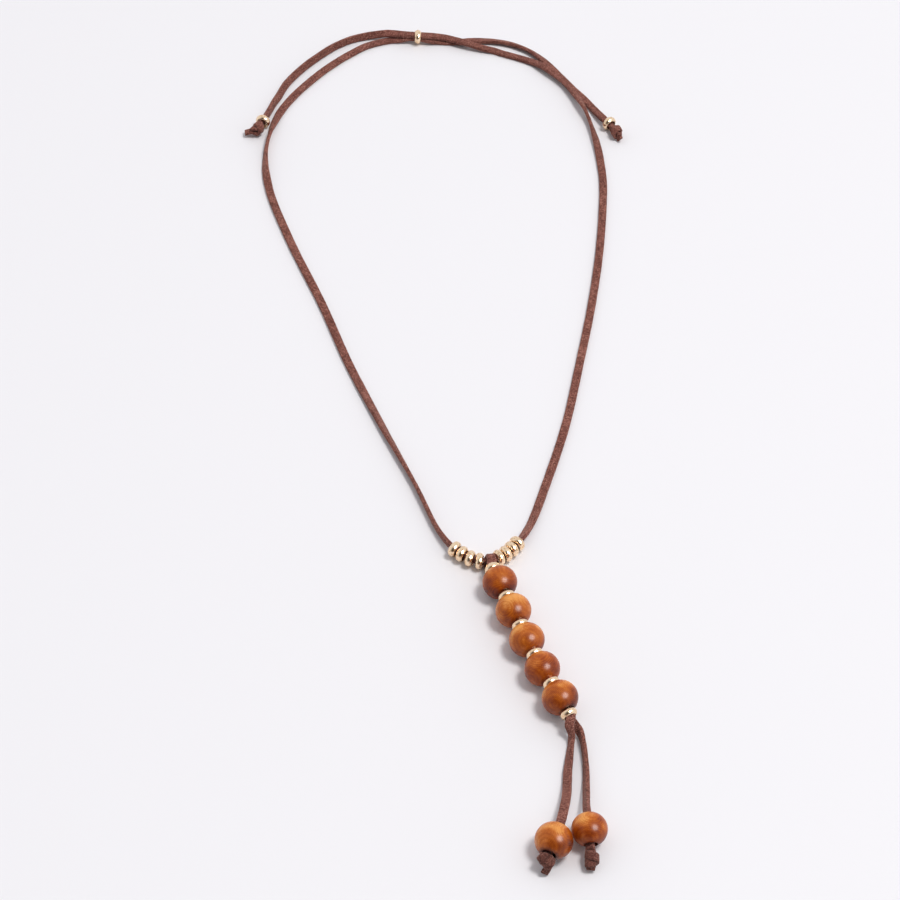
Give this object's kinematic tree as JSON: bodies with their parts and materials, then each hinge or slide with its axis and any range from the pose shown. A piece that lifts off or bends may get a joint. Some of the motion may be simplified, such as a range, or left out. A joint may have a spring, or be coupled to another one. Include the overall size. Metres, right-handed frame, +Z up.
{
  "type": "wooden bead necklace",
  "caption": "Adjustable suede-lace necklace laid flat: the neck loop closes in a sliding gold bead, with gold rondelles and a drop of round wood beads ending in two knotted tails.",
  "frame": {"origin": "centre of the laid-out necklace's bounding box, on the surface it rests on", "axes": "+Z up from the surface, +Y along the necklace from the beaded drop towards the slider at the back of the neck, +X to the right seen from above"},
  "size_m": [0.1483, 0.3955, 0.0121],
  "materials": {
    "suede": "reddish-brown split suede with a short matt pile",
    "wood": "turned hardwood under a thin gloss lacquer",
    "gold": "pale gold plating, polished"
  },
  "bodies": {
    "root": {"neck_lace": "suede", "drop_lace": "suede", "wood_bead_1": "wood", "wood_bead_2": "wood", "wood_bead_3": "wood", "wood_bead_4": "wood", "wood_bead_5": "wood", "tail_bead_left": "wood", "tail_bead_right": "wood", "rondelle_left_1": "gold", "rondelle_left_2": "gold", "rondelle_left_3": "gold", "rondelle_left_4": "gold", "rondelle_right_1": "gold", "rondelle_right_2": "gold", "rondelle_right_3": "gold", "rondelle_right_4": "gold", "slider": "gold", "rondelle_end_left": "gold", "rondelle_end_right": "gold", "rondelle_drop_1": "gold", "rondelle_drop_2": "gold", "rondelle_drop_3": "gold", "rondelle_drop_4": "gold", "rondelle_drop_5": "gold", "rondelle_drop_6": "gold", "knot_neck_left": "suede", "knot_neck_right": "suede", "knot_drop_left": "suede", "knot_drop_right": "suede"}
  },
  "joints": []
}
